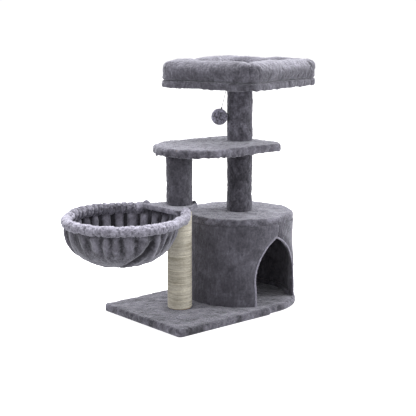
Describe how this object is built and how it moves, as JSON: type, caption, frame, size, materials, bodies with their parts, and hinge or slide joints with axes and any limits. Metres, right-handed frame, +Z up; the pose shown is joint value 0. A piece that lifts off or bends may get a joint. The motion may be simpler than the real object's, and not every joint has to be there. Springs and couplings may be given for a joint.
{
  "type": "cat tree",
  "caption": "Plush cat tree with a sisal post, a hanging basket that swivels, a round condo, a platform, a top bed and a pompom toy.",
  "frame": {"origin": "centre of the base's footprint, on the floor", "axes": "+Z up, +X along the base from the sisal post towards the condo, +Y to the left of +X; the doorway faces -Y, turned 8 degrees towards +X"},
  "size_m": [0.95, 0.4512, 0.85],
  "materials": {
    "grey_plush": "soft short-pile plush",
    "lining_plush": "soft short-pile plush",
    "basket_plush": "soft short-pile plush",
    "rim_plush": "soft short-pile plush",
    "bed_plush": "soft short-pile plush",
    "trim_fleece": "matt piping",
    "pompom_fur": "fluffy",
    "toy_cord": "twisted cord",
    "backing_cloth": "non-woven",
    "sisal_rope": "coarse natural fibre rope",
    "particle_board": "raw board",
    "plug_wood": "raw pine",
    "cardboard": "wound paper board",
    "zinc_steel": "zinc plated",
    "ring_wire": "black powder coat",
    "dark_ferrule": "matt"
  },
  "bodies": {
    "frame": {"base_board": "particle_board", "base_plush": "grey_plush", "underside_cloth": "backing_cloth", "sisal_post_tube": "cardboard", "sisal_winding": "sisal_rope", "left_upper_tube": "cardboard", "left_upper_plush": "grey_plush", "right_lower_tube": "cardboard", "right_lower_plush": "grey_plush", "right_upper_tube": "cardboard", "right_upper_plush": "grey_plush", "post_end_plugs": "plug_wood", "post_threaded_inserts": "zinc_steel", "base_bolt": "zinc_steel", "base_bolt_washer": "zinc_steel", "condo_top_bolt": "zinc_steel", "condo_top_washer": "zinc_steel", "joint_studs": "zinc_steel", "board_t_nuts": "zinc_steel", "condo_base_hoop": "lining_plush", "condo_hoop_screws": "zinc_steel", "condo_wall_board": "cardboard", "condo_wall_plush": "grey_plush", "condo_lining": "lining_plush", "doorway_trim": "trim_fleece", "condo_top_board": "particle_board", "condo_top_plush": "grey_plush", "platform_board": "particle_board", "platform_plush": "grey_plush", "perch_board": "particle_board", "perch_plush": "grey_plush", "toy_staple": "zinc_steel"},
    "basket": {"bracket_board": "particle_board", "bracket_plush": "grey_plush", "basket_ring": "ring_wire", "ring_saddles": "zinc_steel", "saddle_screws": "zinc_steel", "basket_rim_sleeve": "rim_plush", "basket_pouch": "basket_plush"},
    "bed": {"bed_bolster": "bed_plush", "bed_pad": "bed_plush"},
    "toy_link": {"toy_ring": "zinc_steel"},
    "toy": {"toy_cord_eye": "toy_cord", "toy_string": "toy_cord", "pompom_knot": "dark_ferrule", "toy_pompom": "pompom_fur"}
  },
  "joints": [
    {"name": "basket_swivel", "type": "hinge", "parent": "frame", "child": "basket", "pos_m": [-0.148, 0, 0.372], "axis": [0, 0, 1], "range_deg": [-70, 70]},
    {"name": "bed_lift_off", "type": "slide", "parent": "frame", "child": "bed", "axis": [0, 0, 1], "range_m": [0, 0.15]},
    {"name": "toy_swing_out", "type": "hinge", "parent": "frame", "child": "toy_link", "pos_m": [0.079, 0.0201, 0.757], "axis": [0.4226, 0.9063, 0], "range_deg": [0, 50]},
    {"name": "toy_swing_side", "type": "hinge", "parent": "toy_link", "child": "toy", "pos_m": [0.079, 0.0201, 0.7523], "axis": [-0.9063, 0.4226, 0], "range_deg": [-40, 40]}
  ]
}
